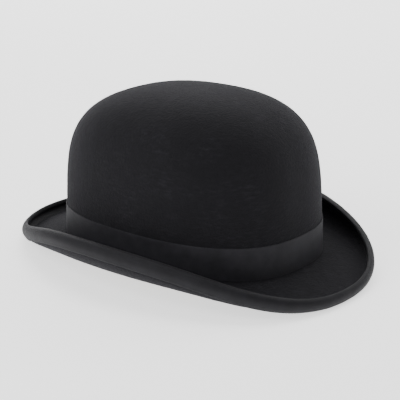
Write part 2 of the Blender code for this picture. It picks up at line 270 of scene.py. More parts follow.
def wall(phi, height, out):
    """A point on the crown's wall at a height over the brim line. It may lie just under it."""
    point = crown(phi, rise_at_height(height), out)
    point[..., 2] += np.minimum(height, 0)
    return point


def crown_top(out):
    """The crown's topmost middle point."""
    return crown(ring(32), 1.0, out).mean(axis=0)


def brim_length(phi):
    """The brim's length along the felt, from the crown to its edge."""
    swept = around(phi, SWEEP_RADIUS) * (UPRIGHT - around(phi, BRIM_SLOPE))
    return around(phi, BRIM_RUN) + swept + ROLL_RADIUS * (around(phi, LIP_ANGLE) - UPRIGHT)


def brim(phi, inset, out):
    """A point inset from the brim's edge along the felt, and out from its middle on the underside."""
    slope = around(phi, BRIM_SLOPE)
    run = around(phi, BRIM_RUN)
    sweep = around(phi, SWEEP_RADIUS)
    walked = brim_length(phi) - inset
    sweep_length = sweep * (UPRIGHT - slope)
    straight = np.minimum(walked, run)
    swept = slope + np.clip(walked - run, 0, sweep_length) / sweep
    rolled = swept + np.maximum(walked - run - sweep_length, 0) / ROLL_RADIUS
    reach = straight * np.cos(slope) + sweep * (np.sin(swept) - np.sin(slope))
    reach += ROLL_RADIUS * (np.sin(rolled) - np.sin(swept)) + out * np.sin(rolled)
    height = straight * np.sin(slope) + sweep * (np.cos(slope) - np.cos(swept))
    height += ROLL_RADIUS * (np.cos(swept) - np.cos(rolled)) - out * np.cos(rolled)
    x, y = oval(phi)
    nx, ny = oval_normal(phi)
    foot = 1 + FLARE
    return np.stack([x * foot + nx * reach, y * foot + ny * reach, height - dip(phi)], -1)


def waves(phi, seed, *counts):
    """A slow, repeatable wander round the hat, about -1 to 1, with the given waves per turn."""
    phases = np.random.default_rng(seed).uniform(0, 2 * math.pi, len(counts))
    total = sum(np.sin(count * phi + phase) for count, phase in zip(counts, phases))
    return total / len(counts)


# ---------------------------------------------------------------- materials


class Shader:
    """A material's node tree, with short calls for the nodes used here."""

    def __init__(self, name):
        self.material = bpy.data.materials.new(name)
        self.material.use_nodes = True
        self.tree = self.material.node_tree
        self.surface = self.tree.nodes["Principled BSDF"]

    def node(self, kind, settings=(), **inputs):
        """A new shader node, with its settings and its inputs' values or links."""
        made = self.tree.nodes.new("ShaderNode" + kind)
        for name, value in dict(settings).items():
            setattr(made, name, value)
        for name, value in inputs.items():
            self.feed(made.inputs[name.replace("_", " ")], value)
        return made

    def feed(self, socket, value):
        if isinstance(value, bpy.types.NodeSocket):
            self.tree.links.new(value, socket)
        else:
            socket.default_value = value

    def math(self, operation, *values):
        made = self.node("Math", {"operation": operation})
        for socket, value in zip(made.inputs, values):
            self.feed(socket, value)
        return made.outputs[0]

    def wave(self, value, length):
        """A sine wave of that length along a value in metres."""
        return self.math("SINE", self.math("MULTIPLY", value, 2 * math.pi / length))

    def position(self, stretch=(1, 1, 1), shift=(0, 0, 0)):
        """The place on the object, scaled by stretch, where a larger factor makes finer detail."""
        place = self.tree.nodes.new("ShaderNodeTexCoord").outputs["Object"]
        return self.node("Mapping", Vector=place, Scale=stretch, Location=shift).outputs["Vector"]

    def uv(self):
        """The place along and across the cloth."""
        place = self.tree.nodes.new("ShaderNodeTexCoord").outputs["UV"]
        return self.node("SeparateXYZ", Vector=place).outputs

    def noise(self, feature, detail=3.0, vector=None):
        """Noise with features of that size, in metres."""
        where = vector or self.position()
        return self.node("TexNoise", Vector=where, Scale=1 / feature, Detail=detail).outputs["Fac"]

    def spots(self, spacing, size, share):
        """1 inside small round spots, 0 elsewhere. That share of the cells has one."""
        cell = self.node("TexVoronoi", Vector=self.position(), Scale=1 / spacing)
        lot = self.node("SeparateColor", Color=cell.outputs["Color"]).outputs[0]
        chosen = self.math("GREATER_THAN", lot, 1 - share)
        near = self.math("LESS_THAN", cell.outputs["Distance"], size / spacing)
        return self.math("MULTIPLY", chosen, near)

    def ramp(self, factor, *stops):
        """Colours blended between stops, each a place from 0 to 1 and a colour."""
        made = self.node("ValToRGB", Fac=factor)
        elements = made.color_ramp.elements
        while len(elements) < len(stops):
            elements.new(0.5)
        for element, (place, colour) in zip(elements, stops):
            element.position = place
            element.color = (*colour, 1)
        return made.outputs["Color"]

    def mix(self, factor, first, second, blend="MIX"):
        made = self.node("Mix", {"data_type": "RGBA", "blend_type": blend})
        self.feed(made.inputs[0], factor)
        self.feed(made.inputs[6], first)
        self.feed(made.inputs[7], second)
        return made.outputs[2]

    def multiply(self, first, second):
        return self.mix(1.0, first, second, "MULTIPLY")

    def bump(self, height, depth, strength=1.0, under=None):
        """A normal bent by a height of that depth in metres, on top of the one under it."""
        made = self.node("Bump", Height=height, Distance=depth, Strength=strength)
        if under is not None:
            self.feed(made.inputs["Normal"], under)
        return made.outputs["Normal"]

    def finish(self, **inputs):
        """The finished material, with these inputs on its surface shader."""
        for name, value in inputs.items():
            self.feed(self.surface.inputs[name.replace("_", " ")], value)
        return self.material


def grey(level, tint=(1.0, 1.0, 1.0)):
    """A grey, or a tinted near-grey, as linear red, green and blue."""
    return tuple(level * part for part in tint)


# The faint cool tint of the black dye, and where the felt's cloudy wear lies.
COOL = (1.0, 0.97, 1.16)
CLOUD_SHIFT = (0.0, 0.05, 0.03)


def felt_material():
    """Brushed black fur felt: a fine nap with level, lighter scuffs, cloudy wear and a little lint."""
    shader = Shader("felt_nap")
    cloud = shader.noise(30 * MM, 4, shader.position(shift=CLOUD_SHIFT))
    scuff = shader.noise(6.0 * MM, 7, shader.position((1, 1, 3.2)))
    tuft = shader.noise(1.9 * MM, 3, shader.position((1, 1, 1.3)))
    fibre = shader.noise(0.7 * MM, 4, shader.position((1, 1, 1.6)))
    base = shader.ramp(cloud, (0.3, grey(0.0070, COOL)), (0.7, grey(0.0091, COOL)))
    patchy = shader.ramp(cloud, (0.40, grey(0.2)), (0.66, grey(1.0)))
    worn = shader.ramp(scuff, (0.36, grey(0.84)), (0.52, grey(1.0)), (0.76, grey(1.75)))
    worn = shader.mix(patchy, (1, 1, 1, 1), worn)
    hairs = shader.ramp(fibre, (0.30, grey(0.80)), (0.70, grey(1.22)))
    colour = shader.multiply(shader.multiply(base, worn), hairs)
    lint = shader.spots(16 * MM, 0.45 * MM, 0.14)
    colour = shader.mix(shader.math("MULTIPLY", lint, 0.55), colour, (0.16, 0.16, 0.17, 1))
    normal = shader.bump(tuft, 0.9 * MM, 0.6, shader.bump(scuff, 0.6 * MM, 0.4))
    normal = shader.bump(fibre, 0.50 * MM, 0.85, normal)
    rough = shader.math("MULTIPLY_ADD", cloud, 0.1, 0.84)
    return shader.finish(Base_Color=colour, Roughness=rough, Normal=normal, Specular_IOR_Level=0.13,
                         Sheen_Weight=0.07, Sheen_Roughness=0.5, Sheen_Tint=(0.66, 0.65, 0.74, 1))


def ribbon_material(name, level, rib, gloss, tint=COOL):
    """Grosgrain: fine ribs square to the ribbon's length, each broken by the weave."""
    shader = Shader(name)
    along, across = shader.uv()[0], shader.uv()[1]
    cords = shader.math("MULTIPLY_ADD", shader.wave(along, rib), 0.5, 0.5)
    weave = shader.math("MULTIPLY_ADD", shader.wave(across, 0.45 * rib), 0.12, cords)
    drift = shader.noise(9 * MM, 3)
    base = shader.ramp(drift, (0.3, grey(level * 0.85, tint)), (0.7, grey(level * 1.2, tint)))
    # Painted shade: the ribbon's colour darkens in the troughs between the ribs and lightens on their
    # crests, following the rib wave.
    shade = shader.ramp(cords, (0.0, grey(0.55)), (0.75, grey(1.1)))
    colour = shader.multiply(base, shade)
    grain = shader.noise(0.5 * MM, 2)
    normal = shader.bump(weave, 0.1 * MM, 0.7, shader.bump(grain, 0.1 * MM, 0.25))
    return shader.finish(Base_Color=colour, Roughness=0.62, Normal=normal, Specular_IOR_Level=gloss,
                         Sheen_Weight=0.05, Sheen_Roughness=0.4, Sheen_Tint=(0.7, 0.7, 0.75, 1))


def thread_material():
    """Black sewing thread, shaded along its twist."""
    shader = Shader("black_thread")
    twist = shader.noise(0.3 * MM, 2, shader.position((1, 1, 3)))
    colour = shader.ramp(twist, (0.3, grey(0.008, COOL)), (0.7, grey(0.024, COOL)))
    return shader.finish(Base_Color=colour, Roughness=0.6, Normal=shader.bump(twist, 0.08 * MM, 0.6),
                         Specular_IOR_Level=0.25)


def leather_material():
    """Smooth brown sweatband leather with fine pores, a faint polish and handled, darker patches."""
    shader = Shader("brown_leather")
    pores = shader.node("TexVoronoi", {"feature": "F1"}, Vector=shader.position(),
                        Scale=1 / (0.9 * MM)).outputs["Distance"]
    crease = shader.noise(3.5 * MM, 5)
    patch = shader.noise(35 * MM, 3)
    base = shader.ramp(patch, (0.3, (0.120, 0.052, 0.024)), (0.7, (0.195, 0.092, 0.045)))
    shade = shader.ramp(crease, (0.25, grey(0.78)), (0.7, grey(1.12)))
    colour = shader.multiply(base, shade)
    normal = shader.bump(pores, 0.12 * MM, 0.35, shader.bump(crease, 0.3 * MM, 0.3))
    rough = shader.math("MULTIPLY_ADD", crease, 0.2, 0.30)
    return shader.finish(Base_Color=colour, Roughness=rough, Normal=normal, Specular_IOR_Level=0.5,
                         Coat_Weight=0.12, Coat_Roughness=0.28)


def satin_material():
    """Lustrous lining satin: very fine floats along the cloth, and faint pressed creases."""
    shader = Shader("lining_satin")
    along, across = shader.uv()[0], shader.uv()[1]
    floats = shader.wave(along, 0.45 * MM)
    weave = shader.math("MULTIPLY_ADD", shader.wave(across, 1.3 * MM), 0.35, floats)
    crease = shader.noise(16 * MM, 3, shader.position((1, 1, 0.3)))
    slub = shader.noise(1.5 * MM, 3, shader.position((1, 1, 0.12)))
    colour = shader.ramp(slub, (0.3, (0.41, 0.365, 0.30)), (0.7, (0.49, 0.445, 0.375)))
    normal = shader.bump(weave, 0.04 * MM, 0.35, shader.bump(crease, 2.0 * MM, 0.35))
    return shader.finish(Base_Color=colour, Roughness=0.27, Normal=normal, Specular_IOR_Level=0.85,
                         Anisotropic=0.5, Sheen_Weight=0.25, Sheen_Roughness=0.3,
                         Sheen_Tint=(1.0, 0.96, 0.88, 1))


def film_material():
    """The tip's clear film, faintly hazed and rippled."""
    shader = Shader("clear_film")
    ripple = shader.noise(18 * MM, 3)
    haze = shader.ramp(ripple, (0.3, grey(0.86)), (0.7, grey(0.95)))
    return shader.finish(Base_Color=haze, Roughness=0.08, Alpha=0.22, IOR=1.46,
                         Normal=shader.bump(ripple, 0.8 * MM, 0.5))


def paper_material():
    """Plain off-white ticket paper with a faint pulp."""
    shader = Shader("ticket_paper")
    pulp = shader.noise(0.8 * MM, 5)
    colour = shader.ramp(pulp, (0.3, (0.66, 0.63, 0.56)), (0.7, (0.78, 0.76, 0.70)))
    return shader.finish(Base_Color=colour, Roughness=0.9, Normal=shader.bump(pulp, 0.1 * MM, 0.3))


def reed_material():
    """Straw-coloured plastic reed, grained along its length."""
    shader = Shader("reed_plastic")
    grain = shader.noise(1.2 * MM, 3, shader.position((1, 1, 4)))
    colour = shader.ramp(grain, (0.3, (0.50, 0.45, 0.33)), (0.7, (0.64, 0.59, 0.46)))
    return shader.finish(Base_Color=colour, Roughness=0.5, Normal=shader.bump(grain, 0.05 * MM, 0.3))


def floor_material():
    """A pale, almost even studio floor with a glow of its own."""
    shader = Shader("studio_floor")
    faint = shader.noise(0.3, 2)
    colour = shader.ramp(faint, (0.3, grey(0.86)), (0.7, grey(0.88)))
    return shader.finish(Base_Color=colour, Roughness=0.95, Specular_IOR_Level=0.1,
                         Emission_Color=(1, 1, 1, 1), Emission_Strength=FLOOR_GLOW)


# ---------------------------------------------------------------- mesh building


def lengths(points, wrap):
    """Distance walked along a line of points, with the way back to its start if it wraps."""
    line = np.concatenate([points, points[:1]]) if wrap else points
    steps = np.linalg.norm(np.diff(line, axis=0), axis=1)
    return np.concatenate([[0], np.cumsum(steps)])


def cloth_cells(rows, closed):
    """The faces between rows of points, and each corner's place along and across the cloth."""
    height, width = rows.shape[:2]
    along = lengths(rows[height // 2], closed)
    across = lengths(rows[:, width // 2], False)
    faces, places = [], []
    for row in range(height - 1):
        low, high = row * width, (row + 1) * width
        down, up = across[row], across[row + 1]
        for column in range(width if closed else width - 1):
            beside = (column + 1) % width
            faces.append((low + column, low + beside, high + beside, high + column))
            left, right = along[column], along[column + 1]
            places.extend([(left, down), (right, down), (right, up), (left, up)])
    return faces, places


def pole_cells(rows):
    """The faces from the last row to one more point, and each corner's place on the cloth."""
    height, width = rows.shape[:2]
    along = lengths(rows[height // 2], True)
    edge = lengths(rows[:, width // 2], False)[-1]
    last, tip = (height - 1) * width, height * width
    faces, places = [], []
    for column in range(width):
        faces.append((last + column, last + (column + 1) % width, tip))
        left, right = along[column], along[column + 1]
        places.extend([(left, edge), (right, edge), ((left + right) / 2, edge)])
    return faces, places


def grid_object(name, rows, skin, closed=True, pole=None):
    """A mesh through rows of points, closed at a pole if there is one, with UVs in metres."""
    rows = np.asarray(rows) + ORIGIN
    points = rows.reshape(-1, 3)
    faces, places = cloth_cells(rows, closed)
    if pole is not None:
        points = np.concatenate([points, [pole + ORIGIN]])
        more_faces, more_places = pole_cells(rows)
        faces += more_faces
        places += more_places
    mesh = bpy.data.meshes.new(name)
    mesh.from_pydata(points.tolist(), [], faces)
    layer = mesh.uv_layers.new(name="cloth")
    layer.data.foreach_set("uv", np.array(places, np.float32).ravel())
    mesh.shade_smooth()
    mesh.materials.append(skin)
    made = bpy.data.objects.new(name, mesh)
    bpy.context.scene.collection.objects.link(made)
    return made


def thicken(piece, thickness):
    """Gives a sheet its thickness, on the side away from its outer face."""
    solid = piece.modifiers.new("thickness", "SOLIDIFY")
    solid.thickness = thickness
    solid.offset = -1
    solid.use_even_offset = True
    return piece


def place(piece, slot, *nodes):
    """Sets a finished piece on the hat's one body, in place of its CAD nodes."""
    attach(piece, "root")
    if nodes:
        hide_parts(*nodes)
    return piece


def cord_object(name, lines, radius, skin, closed=False, sides=3):
    """Round cords or threads along lines of points."""
    data = bpy.data.curves.new(name, "CURVE")
    data.dimensions = "3D"
    data.bevel_depth = radius
    data.bevel_resolution = sides
    data.use_fill_caps = not closed
    for line in lines:
        spline = data.splines.new("POLY")
        spline.points.add(len(line) - 1)
        spline.points.foreach_set("co", np.column_stack([line + ORIGIN, np.ones(len(line))]).ravel())
        spline.use_cyclic_u = closed
    data.materials.append(skin)
    made = bpy.data.objects.new(name, data)
    bpy.context.scene.collection.objects.link(made)
    return made


def stitch_lines(path, pitch, share, lift):
    """Stitches along a path: path(phi, out) gives points, and each stitch dips in at both ends."""
    fine = np.linspace(0, 2 * math.pi, 2001)
    walked = lengths(path(fine, 0.0), False)
    count = int(round(walked[-1] / pitch))
    starts = np.arange(count) * walked[-1] / count
    steps = np.linspace(0, share * pitch, 5)
    sink = lift * np.sin(np.linspace(0, math.pi, 5)) - 0.5 * lift
    return [path(np.interp(start + steps, walked, fine), sink) for start in starts]


# ---------------------------------------------------------------- the felt


def bound_edge(phi):
    """Rows under the binding, with the fine groove that the binding's edge bites into the felt."""
    insets = np.concatenate([np.linspace(0.3 * MM, BINDING_FLAP - 1 * MM, 20),
                             BINDING_FLAP + np.array([-0.4, 0, 0.4, 0.8, 1.3, 2.0]) * MM])
    past = insets - BINDING_FLAP - GROOVE_SETBACK
    groove = GROOVE_DEPTH * np.exp(-(past / GROOVE_WIDTH) ** 2)
    return insets[-1], [brim(phi, inset, -FELT / 2 - depth) for inset, depth in zip(insets, groove)]


def rounded_break(phi, brim_row):
    """Rows that turn from the brim's top side up into the crown's wall."""
    corner = crown_skin(phi, 0)
    corner[:, 2] += FELT / 2 / np.cos(around(phi, BRIM_SLOPE))
    foot = crown(phi, rise_at_height(BREAK_HEIGHT), 0)
    turns = np.linspace(0, 1, 7)[1:-1]
    return [(1 - t) ** 2 * brim_row + 2 * t * (1 - t) * corner + t * t * foot for t in turns]


def felt_piece(skin):
    """Crown and brim from one hood, with a rounded break between them and a faintly uneven nap."""
    phi = ring(288)
    bound, edge_rows = bound_edge(phi)
    bare = brim_length(phi) - bound - BREAK_REACH
    shares = np.linspace(0, 1, 30)[1:]
    open_rows = [brim(phi, bound + bare * share, -FELT / 2) for share in shares]
    break_rows = rounded_break(phi, open_rows[-1])
    rises = evenly_between(rise_at_height(BREAK_HEIGHT), FELT_LAST_RISE, 91, samples=800)[:-1]
    upright = [crown(phi, rise, 0) for rise in rises]
    rows = np.array([*edge_rows, *open_rows, *break_rows, *upright])
    piece = grid_object("felt_hood", rows, skin, pole=crown_top(0))
    roughen(piece, NAP_DEPTH, NAP_FEATURE, 7)
    thicken(piece, FELT)
    return place(piece, "felt", "felt_body")


def evenly_between(start, end, count, samples=400):
    """Rises evenly spaced along the crown's side between two rises."""
    fine = np.linspace(start, end, samples)
    walked = lengths(crown_skin(math.pi / 2, fine), False)
    return np.interp(np.linspace(0, walked[-1], count), walked, fine)


def roughen(piece, depth, feature, seed):
    """Moves a mesh's points a hair in and out, as nap and hand work leave a felt surface."""
    rng = np.random.default_rng(seed)
    mesh = piece.data
    count = len(mesh.vertices)
    points = np.empty(count * 3)
    mesh.vertices.foreach_get("co", points)
    points = points.reshape(-1, 3)
    normals = np.empty(count * 3)
    mesh.vertices.foreach_get("normal", normals)
    turns = rng.normal(size=(NAP_WAVES, 3)) * 2 * math.pi
    directions = turns / (feature * rng.uniform(1, 3, (NAP_WAVES, 1)))
    phases = rng.uniform(0, 2 * math.pi, NAP_WAVES)
    height = np.sin(points @ directions.T + phases).sum(axis=1) / math.sqrt(NAP_WAVES)
    points += depth * np.clip(height, -1.5, 1.5)[:, None] * normals.reshape(-1, 3)
    mesh.vertices.foreach_set("co", points.ravel())
    mesh.update()


# ---------------------------------------------------------------- ribbons outside


def band_piece(skin):
    """The ribbon round the crown, drawn tight, with selvedges a little thicker than its middle."""
    phi = math.pi / 2 + np.linspace(END_GAP, 2 * math.pi - END_GAP, 481)
    edge_wander = 0.12 * MM * waves(phi, 3, 5, 9, 14)
    rows = []
    for share in 0.5 - 0.5 * np.cos(np.linspace(0, math.pi, 19)):
        off_middle = abs(share - 0.5)
        selvedge = SELVEDGE * (smooth(off_middle, 0.44, 0.47) - smooth(off_middle, 0.485, 0.5))
        ripple = 0.06 * MM * waves(phi + share, 5, 11, 23, 31)
        height = BAND_RAISE + BAND_HEIGHT * share + edge_wander
        rows.append(wall(phi, height, BAND_FACE - SELVEDGE + selvedge + ripple))
    piece = thicken(grid_object("hat_band_ribbon", rows, skin, closed=False), RIBBON)
    return place(piece, "grosgrain", "hat_band")


def binding_piece(skin):
    """The ribbon folded over the brim's edge. Its upper flap is pressed down flush at its edge."""
    phi = ring(420)
    insets = np.concatenate([[0], np.linspace(0.7 * MM, BINDING_FLAP, 24)])
    pucker = 0.05 * MM * waves(phi, 11, 37, 53, 71)
    edge = 0.15 * MM * waves(phi, 12, 7, 13, 29) / BINDING_FLAP
    rows = [brim(phi, inset + edge * inset, BINDING_FACE + pucker) for inset in insets[::-1]]
    for turn in np.linspace(0, math.pi, 9)[1:-1]:
        out = BINDING_FACE * signed_power(np.cos(turn), 0.7)
        rows.append(brim(phi, -FOLD_REACH * np.sin(turn), out))
    for inset in insets:
        flush = FLUSH_DEPTH * smooth(inset, BINDING_FLAP - FLUSH_WIDTH, BINDING_FLAP)
        rows.append(brim(phi, inset + edge * inset, flush - BINDING_FACE - pucker))
    rows = on_the_table(np.array(rows))
    piece = thicken(grid_object("brim_binding_ribbon", rows, skin), BINDING)
    length = lengths(brim(phi, 0, 0), True)[-1]
    return place(piece, "grosgrain", "brim_binding")


def on_the_table(points, clear=0.0):
    """Presses points flat where the hat rests on the table, or that far clear of it."""
    points[..., 2] = np.maximum(points[..., 2], clear - ORIGIN[2])
    return points


def binding_stitches(skin):
    """The seam through the binding, seen on both sides of the rolled edge."""
    lines = []
    for side, flush in ((-1, 0.2 * MM), (1, 0.0)):
        def seam(phi, out):
            point = brim(phi, BINDING_FLAP - SEAM_SETBACK, side * (BINDING_FACE - flush + out))
            return on_the_table(point, STITCH_RADIUS)
        lines += stitch_lines(seam, BINDING_STITCH, BINDING_STITCH_SHARE, STITCH_RADIUS)
    piece = cord_object("binding_stitches", lines, STITCH_RADIUS, skin, sides=1)
    return place(piece, "thread", "binding_thread")


# ---------------------------------------------------------------- bows


def side_of_band(along, height, out):
    """Where the outer bow is sewn: the crown's left side, with along running to the back."""
    phi = np.arccos(np.clip(-signed_power(along / HALF_LENGTH, OVAL_POWER / 2), -1, 1))
    return crown(phi, rise_at_height(height), out)


def back_of_sweatband(along, height, out):
    """Where the inner bow is sewn: inside the back of the hat, with along running to the left."""
    phi = math.pi - np.arcsin(np.clip(signed_power(along / HALF_WIDTH, OVAL_POWER / 2), -1, 1))
    return crown(phi, rise_at_height(height), -out)


# Each bow: half its length, half its ribbon's height, the height of its middle, its knot's width,
# the share by which the knot draws it in, how far its loops swell and its ribbon's thickness.
# Then how far out from the crown's side its parts lie.
OUTER_BOW = {"at": side_of_band, "reach": 31 * MM, "half": 11.6 * MM,
             "centre": BAND_RAISE + BAND_HEIGHT / 2, "knot": 11 * MM, "pinch": 0.16,
             "swell": 3.6 * MM, "ribbon": 0.45 * MM, "knot_back": 1.05 * MM, "base": 2.2 * MM,
             "loops": 2.5 * MM, "knot_front": 4.5 * MM}
INNER_BOW = {"at": back_of_sweatband, "reach": 14 * MM, "half": 4 * MM,
             "centre": 15 * MM, "knot": 5 * MM, "pinch": 0.25,
             "swell": 2.0 * MM, "ribbon": 0.3 * MM, "knot_back": 4.3 * MM,
             "loops": 4.9 * MM, "knot_front": 6.5 * MM}
LOOP_AIR = 0.3 * MM


def drawn_in(bow, along):
    """Half the ribbon's height along a bow, which the knot gathers to a waist."""
    held = smooth(np.abs(along), 0.4 * bow["knot"], 0.5 * bow["knot"] + 0.3 * bow["reach"])
    return bow["half"] * (1 - bow["pinch"] * (1 - held))


def pleats(bow, along, level):
    """Small folds that fan out of the knot and die away towards the ends."""
    fade = np.exp(-np.maximum(np.abs(along) - 0.5 * bow["knot"], 0) / (0.28 * bow["reach"]))
    return 0.45 * bow["ribbon"] * fade * np.cos(3 * math.pi * level)


def bow_loops(name, bow, skin):
    """One ribbon folded flat into two loops, the front layer swelling over the back one."""
    turn = ring(132)
    along = -bow["reach"] * np.cos(turn)
    layer = 2 * bow["ribbon"] + LOOP_AIR
    flat = 0.5 * layer * signed_power(np.sin(turn), 0.3)
    held = 0.5 * bow["knot"] / bow["reach"]
    share = np.clip((np.abs(np.cos(turn)) - held) / (1 - held), 0, 1)
    puff = bow["swell"] * np.sin(math.pi * share ** 0.85) ** 0.8 * (np.sin(turn) > 0)
    rows = []
    for level in np.linspace(-1, 1, 23):
        height = bow["centre"] + level * drawn_in(bow, along)
        hollow = 1 - 0.22 * level ** 2
        fold = pleats(bow, along, level) * (np.sin(turn) > 0)
        out = bow["loops"] + layer / 2 + flat + puff * hollow + fold
        rows.append(bow["at"](along, height, out))
    piece = thicken(grid_object(name, rows, skin), bow["ribbon"])
    return piece, (2 * bow["half"], lengths(rows[len(rows) // 2], True)[-1])


def bow_knot(name, bow, skin):
    """The short ribbon wrapped round the loops' middle, creased along its wrap."""
    turn = ring(72)
    middle = (bow["knot_front"] + bow["knot_back"]) / 2
    depth = (bow["knot_front"] - bow["knot_back"]) / 2 * signed_power(np.sin(turn), 0.45)
    rows = []
    for share in np.linspace(-0.5, 0.5, 21):
        crease = 0.3 * bow["ribbon"] * math.cos(4 * math.pi * share)
        waist = 1 - 0.05 * math.cos(math.pi * share)
        height = bow["centre"] + bow["half"] * waist * signed_power(np.cos(turn), 0.35)
        out = middle + depth + crease * (np.sin(turn) > 0.2)
        rows.append(bow["at"](share * bow["knot"] * (1 - 0.08 * np.sin(turn)), height, out))
    piece = thicken(grid_object(name, rows, skin), bow["ribbon"])
    return piece, (bow["knot"], lengths(rows[len(rows) // 2], True)[-1])


def bow_base(bow, skin):
    """The single ribbon behind the outer bow's loops, its ends cut on a slant."""
    reach = 1.1 * bow["reach"]
    rows = []
    for level in np.linspace(-1, 1, 15):
        along = np.linspace(-1, 1, 61) * (reach - 1.2 * MM * (1 - level))
        height = bow["centre"] + level * drawn_in(bow, along)
        rows.append(bow["at"](along, height, bow["base"] + pleats(bow, along, level)))
    piece = thicken(grid_object("bow_base_ribbon", rows, skin, closed=False), bow["ribbon"])
    place(piece, "grosgrain", "bow_base")


def outer_bow(skin):
    """The flat bow on the wearer's left: a base ribbon, two loops and the knot round both."""
    bow_base(OUTER_BOW, skin)
    loops, flat = bow_loops("bow_loop_ribbon", OUTER_BOW, skin)
    place(loops, "grosgrain", "bow_loops")
    knot, flat = bow_knot("bow_knot_ribbon", OUTER_BOW, skin)
    place(knot, "grosgrain", "bow_knot")


def inner_bow(skin):
    """The small bow that marks the back of the sweatband."""
    loops, _flat = bow_loops("inner_bow_ribbon", INNER_BOW, skin)
    place(loops, "tape", "inner_bow_loops")
    knot, _flat = bow_knot("inner_bow_knot_ribbon", INNER_BOW, skin)
    place(knot, "tape", "inner_bow_knot")


# ---------------------------------------------------------------- inside the hat


def sweatband_piece(skin):
    """The leather strip, with two tooled lines under its top edge and its ends meeting at the back."""
    phi = math.pi + np.linspace(END_GAP, 2 * math.pi - END_GAP, 361)
    plain = np.linspace(SWEATBAND_FOOT, SWEATBAND_TOP, 26)
    tooled = [line + np.array([-0.5, -0.25, 0, 0.25, 0.5]) * MM for line in TOOLED_LINES]
    rows = []
    for height in np.sort(np.concatenate([plain, *tooled])):
        groove = 0.16 * MM * np.exp(-((height - TOOLED_LINES) / (0.3 * MM)) ** 2).sum()
        slack = 0.25 * MM * smooth(height, SLACK_START, SWEATBAND_TOP) * (1 + waves(phi, 21, 3, 5, 8))
        rows.append(wall(phi, height, SWEATBAND_FACE + groove - slack))
    piece = thicken(grid_object("sweatband_leather", rows, skin, closed=False), LEATHER)
    return place(piece, "leather", "sweatband")


def foot_seam(phi, out):
    """The zigzag that joins the leather to its tape."""
    swing = 0.9 * MM * signed_power(np.sin(200 * phi), 0.6)
    return wall(phi, SWEATBAND_SEAM + swing, TAPE_BACK - 0.1 * MM - out)


def cross_stitches():
    """The pairs of crossed stitches that close the leather at the back."""
    arch = 0.2 * MM * np.sin(np.linspace(0, math.pi, 5)) - 0.1 * MM
    climb = np.linspace(-0.9, 0.9, 5) * MM
    lines = []
    for height in np.arange(CROSS_STITCHES_START, CROSS_STITCHES_END, CROSS_STITCH):
        for lean in (-1, 1):
            phi = math.pi + lean * np.linspace(-1, 1, 5) * 0.018
            lines.append(wall(phi, height + climb, ON_LEATHER - arch))
    return lines


def sweatband_seams(skin):
    """The seam at the leather's foot and the one that closes it at the back."""
    lines = stitch_lines(foot_seam, SWEATBAND_STITCH, SWEATBAND_STITCH_SHARE, 0.2 * MM)
    lines += cross_stitches()
    piece = cord_object("sweatband_stitches", lines, STITCH_RADIUS, skin, sides=1)
    return place(piece, "thread", "sweatband_thread")


def tape_piece(skin):
    """The tape folded round the reed, a soft bead along the foot of the leather."""
    phi = ring(288)
    middle, half = (TAPE_FACE + TAPE_BACK) / 2, (TAPE_FACE - TAPE_BACK) / 2
    section = [(TAPE_BACK, height) for height in np.linspace(TAPE_TOP_BY_HEAD, 0.9 * MM, 6)]
    section += [(middle - half * math.cos(turn), TAPE_BEAD - TAPE_BEAD_DEPTH * math.sin(turn))
                for turn in np.linspace(0, math.pi, 11)]
    section += [(TAPE_FACE, height) for height in np.linspace(1.2 * MM, TAPE_TOP_BY_FELT, 5)]
    wander = 0.12 * MM * waves(phi, 31, 9, 17, 26)
    rows = []
    for out, height in section:
        rows.append(wall(phi, height + wander * (height > 5 * MM), np.full_like(phi, out)))
    piece = thicken(grid_object("reed_tape_fold", rows, skin), TAPE)
    return place(piece, "tape", "reed_tape")


def reed_piece(skin):
    """The reed's closed ring, in the middle of its tape."""
    phi = ring(180)
    line = wall(phi, REED_HEIGHT, np.full_like(phi, (TAPE_FACE + TAPE_BACK) / 2))
    piece = cord_object("sweatband_reed_core", [line], REED_RADIUS, skin, closed=True)
    return place(piece, "reed", "sweatband_reed")


def gathers(phi, closeness):
    """Folds of the gathered lining, which all lie inwards from the felt."""
    swing = np.sin(GATHERS * phi + 1.5 * waves(phi, 41, 6, 11, 17))
    return -GATHER_DEPTH * closeness * (1 + swing) * (1 + 0.5 * waves(phi, 42, 9, 15))


def lining_side(phi, join, satin):
    """The satin side piece, drawn in by gathers towards its join with the tip."""
    rows = []
    for rise in evenly_between(rise_at_height(LINING_FOOT), join, 44):
        drawn = float(smooth(rise, rise_at_height(GATHERS_START), join))
        closeness = drawn ** 1.3 * (1 - 0.55 * drawn ** 12)
        slack = smooth(rise, rise_at_height(SWEATBAND_TOP), 0.9) * (1 + waves(phi, 43, 4, 7, 10))
        rows.append(crown(phi, rise, LINING_FACE - 0.5 * MM * slack + gathers(phi, closeness)))
    piece = thicken(grid_object("lining_side_satin", rows, satin), SATIN)
    return place(piece, "satin", "lining_side")


def lining_tip(phi, join, satin):
    """The smooth oval tip, which hangs a little from the crown and is pulled taut at its join."""
    rows = []
    for rise in evenly_between(join, LINING_LAST_RISE, 34):
        pull = 1 - float(smooth(rise, join, join + 0.35 * (1 - join)))
        hang = TIP_HANG * (1 - 0.7 * pull ** 4)
        rows.append(crown(phi, rise, LINING_FACE - hang + 0.35 * gathers(phi, pull)))
    top = crown_top(LINING_FACE - TIP_HANG)
    piece = thicken(grid_object("lining_tip_satin", rows, satin, pole=top), SATIN)
    return place(piece, "satin", "lining_tip")


def lining_pieces(satin):
    """The lining's side and tip, and the piping over the join between them."""
    phi = ring(504)
    join = rise_at_spread(JOIN_SPREAD)
    lining_side(phi, join, satin)
    lining_tip(phi, join, satin)
    line = crown(phi, join, np.full_like(phi, LINING_FACE - 1.5 * MM))
    piping = cord_object("lining_piping_cord", [line], PIPING_RADIUS, satin, closed=True)
    place(piping, "satin", "lining_piping")


